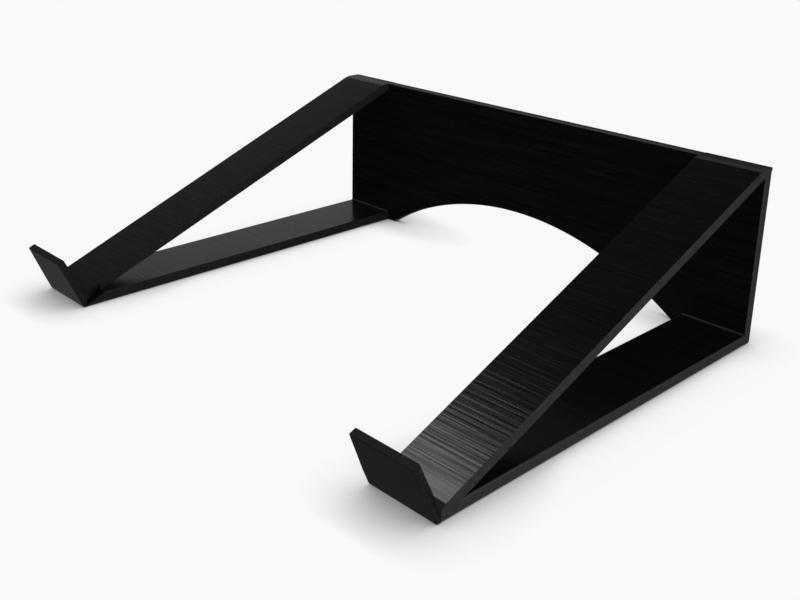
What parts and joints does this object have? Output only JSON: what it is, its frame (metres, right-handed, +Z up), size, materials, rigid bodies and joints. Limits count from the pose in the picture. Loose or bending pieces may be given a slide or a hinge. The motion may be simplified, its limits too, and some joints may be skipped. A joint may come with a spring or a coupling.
{
  "type": "laptop stand",
  "caption": "Black wooden laptop stand: two sloping arms with front lips, flat base bars and an arched back panel.",
  "frame": {"origin": "middle of the stand's footprint, on the table", "axes": "+X to the right seen from the front, +Y from the lips at the front to the panel at the back, +Z up"},
  "size_m": [0.29, 0.2334, 0.0903],
  "materials": {
    "stained_wood": "black stain under satin lacquer",
    "pin_steel": "plain drawn wire",
    "pad_rubber": "matt"
  },
  "bodies": {
    "root": {"back_panel": "stained_wood", "left_arm": "stained_wood", "right_arm": "stained_wood", "left_lip": "stained_wood", "right_lip": "stained_wood", "left_base": "stained_wood", "right_base": "stained_wood", "left_corner_strip": "stained_wood", "right_corner_strip": "stained_wood", "left_lip_pins": "pin_steel", "right_lip_pins": "pin_steel", "left_arm_pins": "pin_steel", "right_arm_pins": "pin_steel", "left_base_pins": "pin_steel", "right_base_pins": "pin_steel", "left_front_pad": "pad_rubber", "left_rear_pad": "pad_rubber", "right_front_pad": "pad_rubber", "right_rear_pad": "pad_rubber"}
  },
  "joints": []
}
